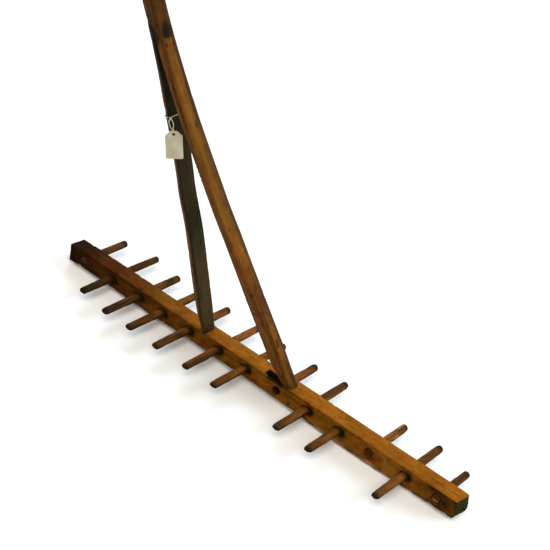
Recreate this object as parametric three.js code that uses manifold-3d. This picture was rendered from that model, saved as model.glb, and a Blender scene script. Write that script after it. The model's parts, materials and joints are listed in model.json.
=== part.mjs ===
// A wooden hay rake with teeth on both sides of its head, and a handle that is
// one pole sawn down the middle and sprung apart into two arms.
//
// Millimetres, +Z up. The origin is the middle of the head's flat underside.
// +X runs along the head, the teeth stand out along -Y (front) and +Y (back),
// and the handle rises from the top of the head and leans towards the front.

import * as THREE from "three";
import { mergeVertices } from "three/addons/utils/BufferGeometryUtils.js";
import Module from "manifold-3d";

const wasm = await Module();
wasm.setup();

// ---------------------------------------------------------------- sizes

const FIT_GAP = 0.3; // clearance between pieces that touch on the real rake

const HEAD_LENGTH = 788;
const HEAD_WIDTH = 30; // front to back
const HEAD_HEIGHT = 31.5;
const HEAD_EDGE_RADIUS = 2; // eased long edges
const HEAD_TOP = HEAD_HEIGHT;
const TOOTH_HEIGHT = HEAD_HEIGHT / 2; // centre line of every tooth

const TOOTH_PITCH = 60.3; // thirteen holes, bored by hand at about this spacing
const TOOTH_RADIUS = 6.4; // where it leaves the head
const TOOTH_TIP_RADIUS = 5.8;
const TOOTH_ROUNDING = 4; // length of the whittled tip
const TOOTH_WHOLE = 10; // a side that stands out less than this is broken off
const TOOTH_BREAK = 2; // depth of the rough end where a tooth broke

// Each tooth in order from the left end: how far its hole strays from even
// spacing, and how far the tooth stands out of the back and the front of the
// head. A broken side stands out by a millimetre or so, or ends inside (below 0).
const TEETH = [
  { drift: -1, back: 66.5, front: -0.5 },
  { drift: 3, back: 78, front: 59.5 },
  { drift: 5, back: 65.5, front: 70 },
  { drift: -2, back: 69, front: 69.5 },
  { drift: -4, back: 68.5, front: 70 },
  { drift: -1, back: 68, front: 69.5 },
  { drift: -4, back: 68, front: 67.5 },
  { drift: 2, back: 67, front: -9 },
  { drift: -1, back: 71.5, front: 66.5 },
  { drift: -1, back: -2, front: 65 },
  { drift: -1, back: 64, front: -3 },
  { drift: 1, back: 67, front: 65.5 },
  { drift: -1, back: 52, front: 1 },
];

const HANDLE_LEAN = THREE.MathUtils.degToRad(27.4); // from the head's +Z, towards -Y
const HANDLE_X = -7.7; // the handle stands a little left of the head's middle
const HANDLE_Y = -6; // and nearer the front
const HANDLE_LENGTH = 1640; // along the handle, from the top of the head
const POLE_RADIUS = 12;
const POLE_END_RADIUS = 11;
const POLE_END_ROUNDING = 7;
const SPLIT_LENGTH = 690; // the sawn part, from the top of the head
const RIVET_ALONG = 679; // the rivet that stops the split from running on
const ARM_FOOT_RADIUS = 14.5;
const ARM_SPREAD = 81.5; // from the handle's axis to a sawn face, at the head
const KERF_HALF = 0.5; // half of the saw cut at the top of the split

const TENON_DEPTH = 23;
const TENON_LENGTH = 13; // along X
const TENON_WIDTH = 12; // along Y
const SLOT_EXTRA = 40; // the right-hand mortise was cut this much too long, inwards

const NAIL_RADIUS = 1.5;
const NAIL_HEAD_RADIUS = 3.2;
const NAIL_HEAD_THICKNESS = 1;
const NAIL_LENGTH = 24;
const NAIL_POINT = 4;
const NAIL_HEIGHT = HEAD_TOP - 6.5;

const RIVET_RADIUS = 2.5;
const RIVET_HEAD_RADIUS = 4.6;
const RIVET_HEAD_HEIGHT = 2.4;
const WASHER_RADIUS = 7.5;
const WASHER_THICKNESS = 1.2;
const WASHER_SEAT = 11; // the pole is filed flat this far from its axis

const STRING_RADIUS = 0.6;
const STRING_SIDES = 8;
const STRING_ALONG = 538.5; // where the string goes round the left arm
const STRING_SLOPE = 0.45; // it lies lower at the back of the arm
const STRING_TILT = 0.55; // and lower on the outer side
const TAG_WIDTH = 21.5;
const TAG_HEIGHT = 38;
const TAG_THICKNESS = 0.6;
const TAG_CORNER = 6.5; // the two clipped top corners
const TAG_HOLE_RADIUS = 1.8;
const TAG_HOLE_DROP = 4.5; // from the top edge to the hole's centre
const TAG_TURN = THREE.MathUtils.degToRad(40); // about the vertical
const TAG_ROLL = THREE.MathUtils.degToRad(10.5); // off plumb, in its own plane

const ROUND_STEPS = 10; // curve segments: a full circle gets twice as many sides

// ------------------------------------------------------------ materials

function matt(hex, roughness, metalness = 0) {
  return new THREE.MeshStandardMaterial({ color: hex, roughness, metalness });
}

const MATERIALS = {
  head: matt(0x9a5f22, 0.6),
  tooth: matt(0x7d5230, 0.65),
  handle: matt(0x8a5a2b, 0.55),
  iron: matt(0x3a3432, 0.6, 0.8),
  card: matt(0xd9d2c3, 0.85),
  string: matt(0xcfc8b8, 0.9),
};

// -------------------------------------------------------------- helpers

const rake = new THREE.Group();

function addPiece(name, geometry, material) {
  const mesh = new THREE.Mesh(geometry, material);
  mesh.name = name;
  rake.add(mesh);
  return mesh;
}

function toSolid(geometry) {
  const bare = geometry.clone();
  bare.deleteAttribute("normal");
  bare.deleteAttribute("uv");
  const merged = mergeVertices(bare, 1e-4);
  const vertProperties = new Float32Array(merged.attributes.position.array);
  const triVerts = new Uint32Array(merged.index.array);
  return new wasm.Manifold(new wasm.Mesh({ numProp: 3, vertProperties, triVerts }));
}

function toGeometry(solid) {
  const mesh = solid.getMesh();
  const geometry = new THREE.BufferGeometry();
  geometry.setAttribute("position", new THREE.BufferAttribute(mesh.vertProperties, 3));
  geometry.setIndex(new THREE.BufferAttribute(mesh.triVerts, 1));
  const faceted = geometry.toNonIndexed();
  faceted.computeVertexNormals();
  return faceted;
}

function cutAll(solid, geometries) {
  return geometries.reduce((left, geometry) => left.subtract(toSolid(geometry)), solid);
}

// A turned solid on the Y axis. The profile is [radius, y] pairs, from low y to
// high y, and starts and ends on the axis.
function turned(profile) {
  const points = profile.map(([radius, y]) => new THREE.Vector2(radius, y));
  return new THREE.LatheGeometry(points, 2 * ROUND_STEPS);
}

function rodAlongY(radius, yLow, yHigh) {
  return turned([[0, yLow], [radius, yLow], [radius, yHigh], [0, yHigh]]);
}

function block(x, y, z, centreX, centreY, centreZ) {
  return new THREE.BoxGeometry(x, y, z).translate(centreX, centreY, centreZ);
}

// ------------------------------------------------- the handle's own frame

// Inside this frame +Z runs up the handle from the top of the head, +X is along
// the head, and +Y is square to the plane of the two arms, towards the back.
const handleFrame = new THREE.Matrix4()
  .makeTranslation(HANDLE_X, HANDLE_Y, HEAD_TOP)
  .multiply(new THREE.Matrix4().makeRotationX(HANDLE_LEAN));

// Distance from the handle's axis to the sawn face of an arm. The arms part just
// under the rivet and bend outwards like sprung beams, less so near the head.
function armOffset(along) {
  const down = Math.max(0, 1 - along / SPLIT_LENGTH);
  return KERF_HALF + ARM_SPREAD * down * (0.38 + 0.98 * down - 0.36 * down * down);
}

function handleRadius(along) {
  if (along < SPLIT_LENGTH) {
    const t = Math.max(0, along) / SPLIT_LENGTH;
    return THREE.MathUtils.lerp(ARM_FOOT_RADIUS, POLE_RADIUS, t);
  }
  const t = (along - SPLIT_LENGTH) / (HANDLE_LENGTH - SPLIT_LENGTH);
  return THREE.MathUtils.lerp(POLE_RADIUS, POLE_END_RADIUS, t);
}

// ---------------------------------------------------------------- teeth

function toothX(index) {
  const middle = (TEETH.length - 1) / 2;
  return (index - middle) * TOOTH_PITCH + TEETH[index].drift;
}

// Half of a tooth's profile, from the middle of the head outwards. A whole tip is
// whittled round; a broken one ends in a short ragged cone.
function toothSide(standsOut) {
  const end = HEAD_WIDTH / 2 + standsOut;
  if (standsOut < TOOTH_WHOLE) {
    return [
      [TOOTH_RADIUS, end - TOOTH_BREAK],
      [TOOTH_RADIUS * 0.7, end],
      [0, end - TOOTH_BREAK * 0.4],
    ];
  }
  return [
    [TOOTH_RADIUS, HEAD_WIDTH / 2],
    [TOOTH_TIP_RADIUS, end - TOOTH_ROUNDING],
    [TOOTH_TIP_RADIUS * 0.82, end - TOOTH_ROUNDING * 0.35],
    [TOOTH_TIP_RADIUS * 0.45, end],
    [0, end],
  ];
}

// The holes run right through the head, and notch a tenon that is in their way.
function toothBores() {
  return TEETH.map((tooth, index) => {
    const bore = rodAlongY(TOOTH_RADIUS + FIT_GAP, -HEAD_WIDTH, HEAD_WIDTH);
    return bore.translate(toothX(index), 0, TOOTH_HEIGHT);
  });
}

function makeTooth(index) {
  const back = toothSide(TEETH[index].back);
  const front = toothSide(TEETH[index].front).map(([radius, y]) => [radius, -y]);
  const profile = [...front.reverse(), ...back];
  return turned(profile).translate(toothX(index), 0, TOOTH_HEIGHT);
}

// ----------------------------------------------------------------- arms

const ARM_SIDES = { left: -1, right: 1 };

// Where an arm's tenon stands: its middle along X, on the top of the head.
function tenonX(side) {
  return HANDLE_X + side * (ARM_SPREAD + TENON_LENGTH / 2);
}

function makeTenon(side, grow) {
  const depth = TENON_DEPTH + grow;
  const height = depth + 5;
  const box = block(
    TENON_LENGTH + 2 * grow,
    TENON_WIDTH + 2 * grow,
    height,
    tenonX(side),
    HANDLE_Y,
    HEAD_TOP - depth + height / 2,
  );
  return box;
}

// The hole for a nail, which is driven in from the back of the head, square
// through the tenon. Its wider end takes the nail's head.
function nailBore(side) {
  const back = HEAD_WIDTH / 2;
  const bore = turned([
    [0, back - NAIL_LENGTH - FIT_GAP],
    [NAIL_RADIUS + FIT_GAP, back - NAIL_LENGTH - FIT_GAP],
    [NAIL_RADIUS + FIT_GAP, back - NAIL_HEAD_THICKNESS - FIT_GAP],
    [NAIL_HEAD_RADIUS + FIT_GAP, back - NAIL_HEAD_THICKNESS - FIT_GAP],
    [NAIL_HEAD_RADIUS + FIT_GAP, back + 1],
    [0, back + 1],
  ]);
  return bore.translate(tenonX(side), 0, NAIL_HEIGHT);
}

// One sawn half of the pole: a half-round section, swept from below the top of
// the head to the top of the split, bent outwards and thinned towards the foot.
function makeArm(side) {
  const overlap = 2;
  const start = -14;
  const length = SPLIT_LENGTH + overlap - start;
  const section = new THREE.Shape();
  section.absarc(0, 0, 1, -Math.PI / 2, Math.PI / 2, false);
  section.closePath();
  const steps = 26;
  const arm = new THREE.ExtrudeGeometry(section, {
    depth: length,
    steps,
    bevelEnabled: false,
    curveSegments: ROUND_STEPS / 2,
  });
  if (side < 0) arm.rotateZ(Math.PI);
  const position = arm.attributes.position;
  for (let i = 0; i < position.count; i += 1) {
    const along = start + position.getZ(i);
    const radius = handleRadius(along);
    const x = position.getX(i) * radius;
    position.setXYZ(i, x + side * armOffset(along), position.getY(i) * radius, along);
  }
  arm.applyMatrix4(handleFrame);
  return toSolid(arm);
}

function makePole() {
  const section = new THREE.Shape();
  section.absarc(0, 0, 1, -Math.PI / 2, (3 * Math.PI) / 2, false);
  const steps = 12;
  const straight = HANDLE_LENGTH - SPLIT_LENGTH - POLE_END_ROUNDING;
  const pole = new THREE.ExtrudeGeometry(section, {
    depth: steps,
    steps,
    bevelEnabled: false,
    curveSegments: ROUND_STEPS,
  });
  const position = pole.attributes.position;
  for (let i = 0; i < position.count; i += 1) {
    const step = position.getZ(i);
    const rounded = Math.max(0, step - (steps - 2)) / 2; // the last two steps
    const along = SPLIT_LENGTH
      + (straight * Math.min(step, steps - 2)) / (steps - 2)
      + POLE_END_ROUNDING * rounded;
    const radius = handleRadius(along) * (1 - 0.35 * rounded * rounded);
    position.setXYZ(i, position.getX(i) * radius, position.getY(i) * radius, along);
  }
  pole.applyMatrix4(handleFrame);
  return toSolid(pole);
}

// Everything below the top of the head, to trim the slanting arms against it.
function belowHeadTop() {
  const deep = 60;
  const top = HEAD_TOP + FIT_GAP;
  return block(HEAD_LENGTH, 4 * HEAD_WIDTH, deep, 0, 0, top - deep / 2);
}

function rivetHole() {
  return rodAlongY(RIVET_RADIUS + FIT_GAP, -2 * POLE_RADIUS, 2 * POLE_RADIUS)
    .rotateZ(Math.PI / 2)
    .translate(0, 0, RIVET_ALONG)
    .applyMatrix4(handleFrame);
}

// The pole is filed flat under each washer.
function washerSeat(side) {
  return rodAlongY(WASHER_RADIUS + 1, WASHER_SEAT, WASHER_SEAT + 5)
    .rotateZ((-side * Math.PI) / 2)
    .translate(0, 0, RIVET_ALONG)
    .applyMatrix4(handleFrame);
}

function makeHandle() {
  let wood = makePole();
  for (const side of Object.values(ARM_SIDES)) {
    wood = wood.add(makeArm(side));
  }
  wood = wood.subtract(toSolid(belowHeadTop()));
  for (const side of Object.values(ARM_SIDES)) {
    wood = wood.add(toSolid(makeTenon(side, 0)));
  }
  const cuts = [rivetHole(), ...toothBores()];
  for (const side of Object.values(ARM_SIDES)) {
    cuts.push(washerSeat(side), nailBore(side));
  }
  return toGeometry(cutAll(wood, cuts));
}

// ----------------------------------------------------------------- head

function roundedSection(width, height, radius) {
  const section = new THREE.Shape();
  const right = width / 2 - radius;
  const top = height / 2 - radius;
  const quarter = Math.PI / 2;
  section.absarc(right, top, radius, 0, quarter, false);
  section.absarc(-right, top, radius, quarter, 2 * quarter, false);
  section.absarc(-right, -top, radius, 2 * quarter, 3 * quarter, false);
  section.absarc(right, -top, radius, 3 * quarter, 4 * quarter, false);
  section.closePath();
  return section;
}

function makeHeadBlank() {
  const section = roundedSection(HEAD_WIDTH, HEAD_HEIGHT, HEAD_EDGE_RADIUS);
  const blank = new THREE.ExtrudeGeometry(section, {
    depth: HEAD_LENGTH,
    bevelEnabled: false,
    curveSegments: 2,
  });
  // The section's x and y become the head's front-to-back and height.
  blank.translate(0, 0, -HEAD_LENGTH / 2);
  blank.rotateY(Math.PI / 2);
  blank.rotateX(Math.PI / 2);
  return blank.translate(0, 0, HEAD_HEIGHT / 2);
}

// The part of the right-hand mortise that the tenon doesn't fill.
function slotExtra() {
  const outer = tenonX(ARM_SIDES.right) - TENON_LENGTH / 2;
  const depth = TENON_DEPTH - 3;
  return block(
    SLOT_EXTRA,
    TENON_WIDTH,
    2 * depth,
    outer - SLOT_EXTRA / 2,
    HANDLE_Y,
    HEAD_TOP,
  );
}

function makeHead() {
  const cuts = toothBores();
  for (const side of Object.values(ARM_SIDES)) {
    cuts.push(makeTenon(side, FIT_GAP), nailBore(side));
  }
  cuts.push(slotExtra());
  return toGeometry(cutAll(toSolid(makeHeadBlank()), cuts));
}

// ------------------------------------------------------------ ironwork

function makeNail(side) {
  const back = HEAD_WIDTH / 2;
  const tip = back - NAIL_LENGTH;
  const nail = turned([
    [0, tip],
    [NAIL_RADIUS, tip + NAIL_POINT],
    [NAIL_RADIUS, back - NAIL_HEAD_THICKNESS],
    [NAIL_HEAD_RADIUS, back - NAIL_HEAD_THICKNESS],
    [NAIL_HEAD_RADIUS, back],
    [0, back],
  ]);
  return nail.translate(tenonX(side), 0, NAIL_HEIGHT);
}

// The rivet is one piece: a shank with a domed head at each end.
function makeRivet() {
  const shoulder = WASHER_SEAT + WASHER_THICKNESS + 2 * FIT_GAP;
  const dome = (sign) => [
    [RIVET_RADIUS, sign * shoulder],
    [RIVET_HEAD_RADIUS, sign * shoulder],
    [RIVET_HEAD_RADIUS * 0.8, sign * (shoulder + RIVET_HEAD_HEIGHT * 0.6)],
    [0, sign * (shoulder + RIVET_HEAD_HEIGHT)],
  ];
  const profile = [...dome(-1).reverse(), ...dome(1)];
  return turned(profile)
    .rotateZ(Math.PI / 2)
    .translate(0, 0, RIVET_ALONG)
    .applyMatrix4(handleFrame);
}

function makeWasher(side) {
  const ring = new THREE.Shape();
  ring.absarc(0, 0, WASHER_RADIUS, 0, 2 * Math.PI, false);
  const hole = new THREE.Path();
  hole.absarc(0, 0, RIVET_RADIUS + FIT_GAP, 0, 2 * Math.PI, true);
  ring.holes.push(hole);
  const washer = new THREE.ExtrudeGeometry(ring, {
    depth: WASHER_THICKNESS,
    bevelEnabled: false,
    curveSegments: ROUND_STEPS,
  });
  const near = WASHER_SEAT + FIT_GAP;
  return washer
    .translate(0, 0, near)
    .rotateY((side * Math.PI) / 2)
    .translate(0, 0, RIVET_ALONG)
    .applyMatrix4(handleFrame);
}

// ------------------------------------------------------- tag on a string

// The tag hangs in front of the left arm. Its own frame has the hole's centre at
// the origin, its face towards -Y and its top edge towards +Z.
const stringFrame = new THREE.Matrix4().multiplyMatrices(
  handleFrame,
  new THREE.Matrix4().makeTranslation(-armOffset(STRING_ALONG), 0, STRING_ALONG),
);
const knot = new THREE.Vector3(3.6, -handleRadius(STRING_ALONG) - 1.2, 0.6)
  .applyMatrix4(stringFrame);
const tagHole = knot.clone().add(new THREE.Vector3(5.2, 4.2, -20.8));

function makeTag() {
  const top = TAG_HOLE_DROP;
  const low = top - TAG_HEIGHT;
  const half = TAG_WIDTH / 2;
  const card = new THREE.Shape();
  card.moveTo(-half, low);
  card.lineTo(half, low);
  card.lineTo(half, top - TAG_CORNER);
  card.lineTo(half - TAG_CORNER, top);
  card.lineTo(TAG_CORNER - half, top);
  card.lineTo(-half, top - TAG_CORNER);
  card.closePath();
  const hole = new THREE.Path();
  hole.absarc(0, 0, TAG_HOLE_RADIUS, 0, 2 * Math.PI, true);
  card.holes.push(hole);
  const tag = new THREE.ExtrudeGeometry(card, {
    depth: TAG_THICKNESS,
    bevelEnabled: false,
    curveSegments: ROUND_STEPS / 2,
  });
  return tag
    .translate(0, 0, -TAG_THICKNESS / 2)
    .rotateX(Math.PI / 2)
    .rotateY(-TAG_ROLL)
    .rotateZ(TAG_TURN)
    .translate(tagHole.x, tagHole.y, tagHole.z);
}

// The string: from the knot round the arm and back to the knot, then down one
// strand, through the tag's hole and up the other strand.
function stringRoute() {
  const clear = handleRadius(STRING_ALONG) + STRING_RADIUS + 4 * FIT_GAP;
  const face = STRING_RADIUS + 2 * FIT_GAP;
  const aroundArm = [
    [-0.4, -clear * 1.06],
    [-clear * 0.8, -clear * 0.7],
    [-clear * 1.04, 0],
    [-clear * 0.75, clear * 0.75],
    [-4, clear],
    [face * 0.5, clear * 1.02],
    [face * 1.2, clear * 0.82],
    [face, 0],
    [face * 1.4, -clear * 0.82],
  ].map(([x, y]) => {
    const z = STRING_TILT * Math.min(x, 0) - STRING_SLOPE * (y + clear);
    return new THREE.Vector3(x, y, z).applyMatrix4(stringFrame);
  });
  const hole = tagHole;
  const side = new THREE.Vector3(Math.cos(TAG_TURN), Math.sin(TAG_TURN), 0);
  const out = new THREE.Vector3(Math.sin(TAG_TURN), -Math.cos(TAG_TURN), 0);
  const at = (across, outwards, up) => hole.clone()
    .addScaledVector(side, across)
    .addScaledVector(out, outwards)
    .add(new THREE.Vector3(0, 0, up));
  const loop = [
    at(-6.7, 0, 20.8),
    at(-4.4, 1.2, 18.4),
    at(-1.9, 1.7, 13),
    at(-1.6, 1.8, 8.5),
    at(-1.1, 1.6, 4.2),
    at(0, 1.2, 1),
    at(0, 0, -0.6),
    at(0, -1.2, 1),
    at(-2.4, -1.1, 4.4),
    at(-5.2, -0.6, 8.5),
    at(-7.3, 0, 13),
    at(-8.2, 1, 17),
    at(-7.6, 1.8, 19.5),
  ];
  return [...aroundArm, ...loop];
}

function makeString() {
  const section = new THREE.Shape();
  section.absarc(0, 0, STRING_RADIUS, 0, 2 * Math.PI, false);
  const route = new THREE.CatmullRomCurve3(stringRoute(), false, "centripetal");
  return new THREE.ExtrudeGeometry(section, {
    steps: 72,
    curveSegments: STRING_SIDES / 2,
    bevelEnabled: false,
    extrudePath: route,
  });
}

// ------------------------------------------------------------- assembly

addPiece("head_beam", makeHead(), MATERIALS.head);
TEETH.forEach((tooth, index) => {
  const number = String(index + 1).padStart(2, "0");
  addPiece(`tooth_${number}`, makeTooth(index), MATERIALS.tooth);
});
addPiece("split_handle", makeHandle(), MATERIALS.handle);
addPiece("split_rivet", makeRivet(), MATERIALS.iron);
for (const [name, side] of Object.entries(ARM_SIDES)) {
  addPiece(`rivet_washer_${name}`, makeWasher(side), MATERIALS.iron);
  addPiece(`tenon_nail_${name}`, makeNail(side), MATERIALS.iron);
}
addPiece("tag_string", makeString(), MATERIALS.string);
addPiece("lot_tag", makeTag(), MATERIALS.card);

export default rake;
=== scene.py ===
"""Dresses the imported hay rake: worn wood, rusty iron, a string and a card tag."""

import itertools
import json
import math

import bmesh
import bpy
import numpy as np
from mathutils import Matrix, Quaternion, Vector


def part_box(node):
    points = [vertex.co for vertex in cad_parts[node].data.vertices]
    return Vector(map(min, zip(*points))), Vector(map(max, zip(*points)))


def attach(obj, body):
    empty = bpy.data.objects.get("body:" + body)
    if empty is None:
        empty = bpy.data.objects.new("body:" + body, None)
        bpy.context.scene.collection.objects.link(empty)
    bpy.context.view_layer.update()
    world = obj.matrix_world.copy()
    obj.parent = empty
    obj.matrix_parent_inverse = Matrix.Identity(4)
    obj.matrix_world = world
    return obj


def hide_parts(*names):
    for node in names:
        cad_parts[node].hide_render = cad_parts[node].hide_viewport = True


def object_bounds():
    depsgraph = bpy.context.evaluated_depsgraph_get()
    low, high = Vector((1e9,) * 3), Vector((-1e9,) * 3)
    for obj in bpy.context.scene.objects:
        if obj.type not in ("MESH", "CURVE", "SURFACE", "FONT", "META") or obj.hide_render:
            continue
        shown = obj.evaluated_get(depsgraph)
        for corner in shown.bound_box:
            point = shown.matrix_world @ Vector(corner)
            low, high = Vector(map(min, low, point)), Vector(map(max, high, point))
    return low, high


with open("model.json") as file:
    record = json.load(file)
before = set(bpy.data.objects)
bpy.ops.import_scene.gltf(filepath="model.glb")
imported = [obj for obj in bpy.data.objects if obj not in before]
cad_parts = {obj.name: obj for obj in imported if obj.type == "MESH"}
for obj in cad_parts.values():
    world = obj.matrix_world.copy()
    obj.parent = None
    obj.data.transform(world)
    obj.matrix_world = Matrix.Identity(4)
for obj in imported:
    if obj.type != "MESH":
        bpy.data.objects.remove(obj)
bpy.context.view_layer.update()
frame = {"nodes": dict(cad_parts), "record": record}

# Shapes are worked out in millimetres, and turned into metres when a mesh is made.
MM = 0.001

# ---------------------------------------------------------------- the frame


def box_mm(node):
    low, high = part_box(node)
    return np.array(low) / MM, np.array(high) / MM


HEAD_LOW, HEAD_HIGH = box_mm("head_beam")
HEAD_HALF = (HEAD_HIGH - HEAD_LOW) / 2
HEAD_MIDDLE = (HEAD_HIGH + HEAD_LOW) / 2
HEAD_TOP = HEAD_HIGH[2]

TOOTH_NODES = sorted(n for n in frame["nodes"] if n.startswith("tooth_"))
TOOTH_BOXES = [box_mm(n) for n in TOOTH_NODES]
TOOTH_X = np.array([(low[0] + high[0]) / 2 for low, high in TOOTH_BOXES])
TOOTH_RADIUS = (TOOTH_BOXES[1][1][0] - TOOTH_BOXES[1][0][0]) / 2
FRONT_REACH = np.array([-low[1] for low, high in TOOTH_BOXES])
STUB = 12.0  # a side that stands out less than this is a broken tooth

# The handle's own axes: x along the head, y square to the two arms, z up the pole.
GRIP = next(m for m in frame["record"]["mounts"] if m["name"] == "hand_grip")
UP = np.array(GRIP["axis"]) / np.linalg.norm(GRIP["axis"])
ACROSS = np.array([1.0, 0.0, 0.0])
BACK = np.cross(UP, ACROSS)
FOOT = np.array(GRIP["pos_m"]) / MM
FOOT = FOOT - UP * (FOOT[2] - HEAD_TOP) / UP[2]
HANDLE_AXES = np.array([ACROSS, BACK, UP])
SPLIT_LENGTH = 690.0
ARM_SPREAD = 81.5
ARM_RADIUS = 14.5
POLE_RADIUS = 12.0
KERF_HALF = 0.5


def arm_offset(along):
    """From the handle's axis to the sawn face of an arm, that far up from the head."""
    down = np.clip(1 - along / SPLIT_LENGTH, 0, None)
    return KERF_HALF + ARM_SPREAD * down * (0.38 + 0.98 * down - 0.36 * down * down)


# The handle isn't quite straight: how far it wanders to the right, by place along it.
SWAY = [
    (330, 0.0), (385, -2.2), (540, -1.9), (575, -1.4), (610, -0.4), (640, 0.2),
    (670, 0.9), (700, 1.5), (715, 2.0), (740, 3.2), (760, 3.7),
]
# How much of each arm's outer side is planed away, by place along it.
LEFT_TRIM = [
    (0, 3.0), (20, 2.8), (70, 1.2), (110, 0), (490, 0), (525, 0.5), (590, 1.6), (650, 0.8),
    (690, 0.3),
]
RIGHT_TRIM = [(300, 0), (345, 1.6), (440, 0.8), (540, 0.7), (600, 1.2), (650, 1.5), (690, 0.3)]


def from_table(along, table):
    """A value from a few (place, value) stops along a line."""
    places, values = zip(*table)
    return np.interp(along, places, values)


# ------------------------------------------------------------------- camera

CAMERA_AT = Vector((0.9171, -1.3730, 1.2087))
CAMERA_AIM = Vector((0.0055, -0.0007, 0.1885))
CAMERA_ROLL = math.radians(12.56)
CAMERA_LENS = 86.45


def link(name, data):
    """A new object in the scene."""
    made = bpy.data.objects.new(name, data)
    bpy.context.scene.collection.objects.link(made)
    return made


def make_camera():
    data = bpy.data.cameras.new("camera")
    data.lens = CAMERA_LENS
    data.sensor_width = 36.0
    data.clip_start, data.clip_end = 0.05, 60.0
    camera = link("camera", data)
    camera.location = CAMERA_AT
    camera.rotation_mode = "QUATERNION"
    aimed = (CAMERA_AIM - CAMERA_AT).to_track_quat("-Z", "Y")
    camera.rotation_quaternion = aimed @ Quaternion((0, 0, 1), CAMERA_ROLL)
    bpy.context.scene.camera = camera


make_camera()

# ------------------------------------------------------------- numpy helpers

LATTICE = np.random.default_rng(629).uniform(-1, 1, (32, 32, 32))


def noise(points, size, shift=0.0):
    """Smooth noise from -1 to 1. size is the length of one cell along each axis."""
    q = points / np.array(size, float) + shift * 5.37
    cell = np.floor(q).astype(int)
    t = q - cell
    t = t * t * (3 - 2 * t)
    total = np.zeros(len(points))
    for corner in itertools.product((0, 1), repeat=3):
        weight = np.prod(np.where(corner, t, 1 - t), axis=1)
        index = (cell + np.array(corner)) % 32
        total += weight * LATTICE[index[:, 0], index[:, 1], index[:, 2]]
    return total


def smooth(value, low, high):
    """0 at low, 1 at high and a smooth step between them. Either may be the greater."""
    t = np.clip((value - low) / (high - low), 0, 1)
    return t * t * (3 - 2 * t)


def between(value, start, full, fade, stop):
    """0 outside start and stop, and 1 from full to fade."""
    return smooth(value, start, full) * (1 - smooth(value, fade, stop))


def bump_at(value, middle, width):
    """A round bump, 1 at the middle and nearly 0 two widths away."""
    return np.exp(-(((value - middle) / width) ** 2))


def mix(a, b, share):
    share = np.asarray(share)[..., None]
    return a * (1 - share) + np.asarray(b) * share


def srgb(red, green, blue):
    """A screen colour, 0 to 255, as a linear one."""
    c = np.array([red, green, blue]) / 255
    return np.where(c <= 0.04045, c / 12.92, ((c + 0.055) / 1.055) ** 2.4)


def along_line(value, stops):
    """A colour from a few (place, colour) stops along a line."""
    places = [place for place, colour in stops]
    colours = np.array([colour for place, colour in stops])
    return np.stack([np.interp(value, places, colours[:, k]) for k in range(3)], axis=1)


def read(mesh, key):
    flat = np.empty(len(mesh.vertices) * 3, np.float32)
    mesh.vertices.foreach_get(key, flat)
    return flat.reshape(-1, 3).astype(float)


def points_of(mesh):
    return read(mesh, "co") / MM


def normals_of(mesh):
    return read(mesh, "normal")


def set_points(mesh, points):
    mesh.vertices.foreach_set("co", (points * MM).astype(np.float32).ravel())
    mesh.update()


def set_wood(mesh, tint, dirt, grain):
    """Gives a mesh the attributes that wood() reads."""
    rgba = np.ones((len(tint), 4))
    rgba[:, :3] = np.clip(tint, 0, 1)
    for name, kind, key, values in (
        ("tint", "FLOAT_COLOR", "color", rgba),
        ("dirt", "FLOAT", "value", np.clip(dirt, 0, 1)),
        ("grain", "FLOAT_VECTOR", "vector", grain * MM),
    ):
        attribute = mesh.attributes.new(name, kind, "POINT")
        attribute.data.foreach_set(key, values.astype(np.float32).ravel())


# -------------------------------------------------------------- mesh helpers


# How fine the even mesh of each kind of piece is.
HEAD_VOXEL = 0.95
TOOTH_VOXEL = 0.7
HANDLE_VOXEL = 0.9
IRON_VOXEL = 0.32


def remeshed(name, node, voxel, axes=np.eye(3), squeeze=(1, 1, 1)):
    """A copy of a CAD node with an even mesh, fine enough to carve.

    axes are the rows of a turned frame, and squeeze says how many times longer
    a face may be along each of them than voxel, which is in millimetres."""
    mesh = frame["nodes"][node].data.copy()
    scale = np.diag(1 / np.array(squeeze, float))
    into = scale @ axes
    raw = link(name + "_raw", mesh)
    set_points(mesh, points_of(mesh) @ into.T)
    even = raw.modifiers.new("even", "REMESH")
    even.mode = "VOXEL"
    even.voxel_size = voxel * MM
    evaluated = raw.evaluated_get(bpy.context.evaluated_depsgraph_get())
    made = bpy.data.meshes.new_from_object(evaluated)
    bpy.data.objects.remove(raw)
    made.materials.clear()
    if "sharp_face" in made.attributes:
        made.attributes.remove(made.attributes["sharp_face"])
    set_points(made, points_of(made) @ np.linalg.inv(into).T)
    made.name = name
    return made


def finished(name, mesh, node, material):
    """The piece that stands for a CAD node."""
    mesh.shade_smooth()
    mesh.materials.append(material)
    piece = link(name, mesh)
    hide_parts(node)
    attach(piece, "root")
    return piece


# ----------------------------------------------------------------- materials


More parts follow.
